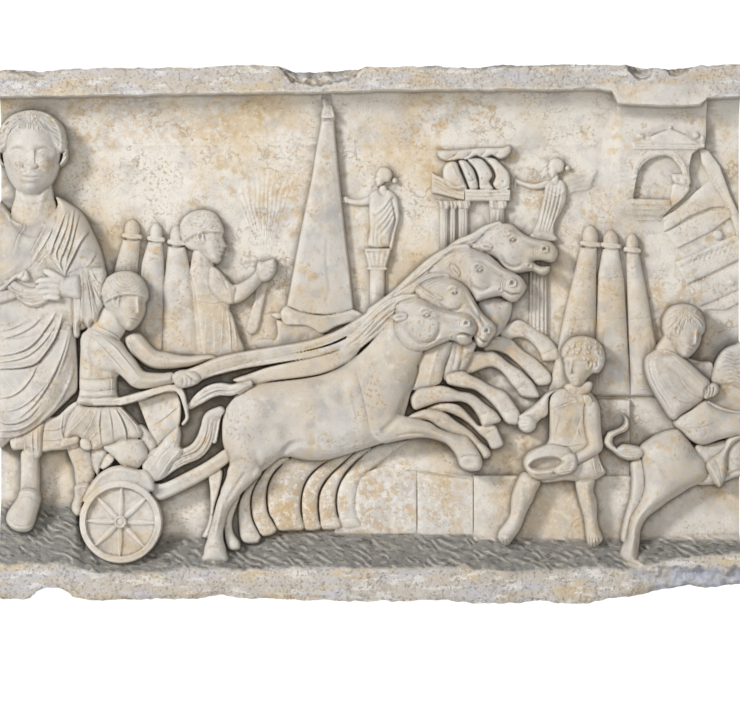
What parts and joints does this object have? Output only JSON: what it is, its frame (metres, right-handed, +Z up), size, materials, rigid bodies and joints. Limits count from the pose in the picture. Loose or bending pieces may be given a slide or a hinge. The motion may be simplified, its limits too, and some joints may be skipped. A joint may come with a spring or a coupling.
{
  "type": "marble relief plaque",
  "caption": "Carved marble wall plaque in high relief: a circus chariot race between a broken upper ledge and a rough sloping ground.",
  "frame": {"origin": "centre of the flat back face, where the plaque meets its wall", "axes": "+X along the plaque to the right as seen from the front, +Y out of the back face into the wall, +Z up; the carving faces -Y"},
  "size_m": [0.696, 0.093, 0.506],
  "materials": {
    "marble": "honed, worn and stained marble"
  },
  "bodies": {
    "root": {"relief_plaque": "marble"}
  },
  "joints": []
}
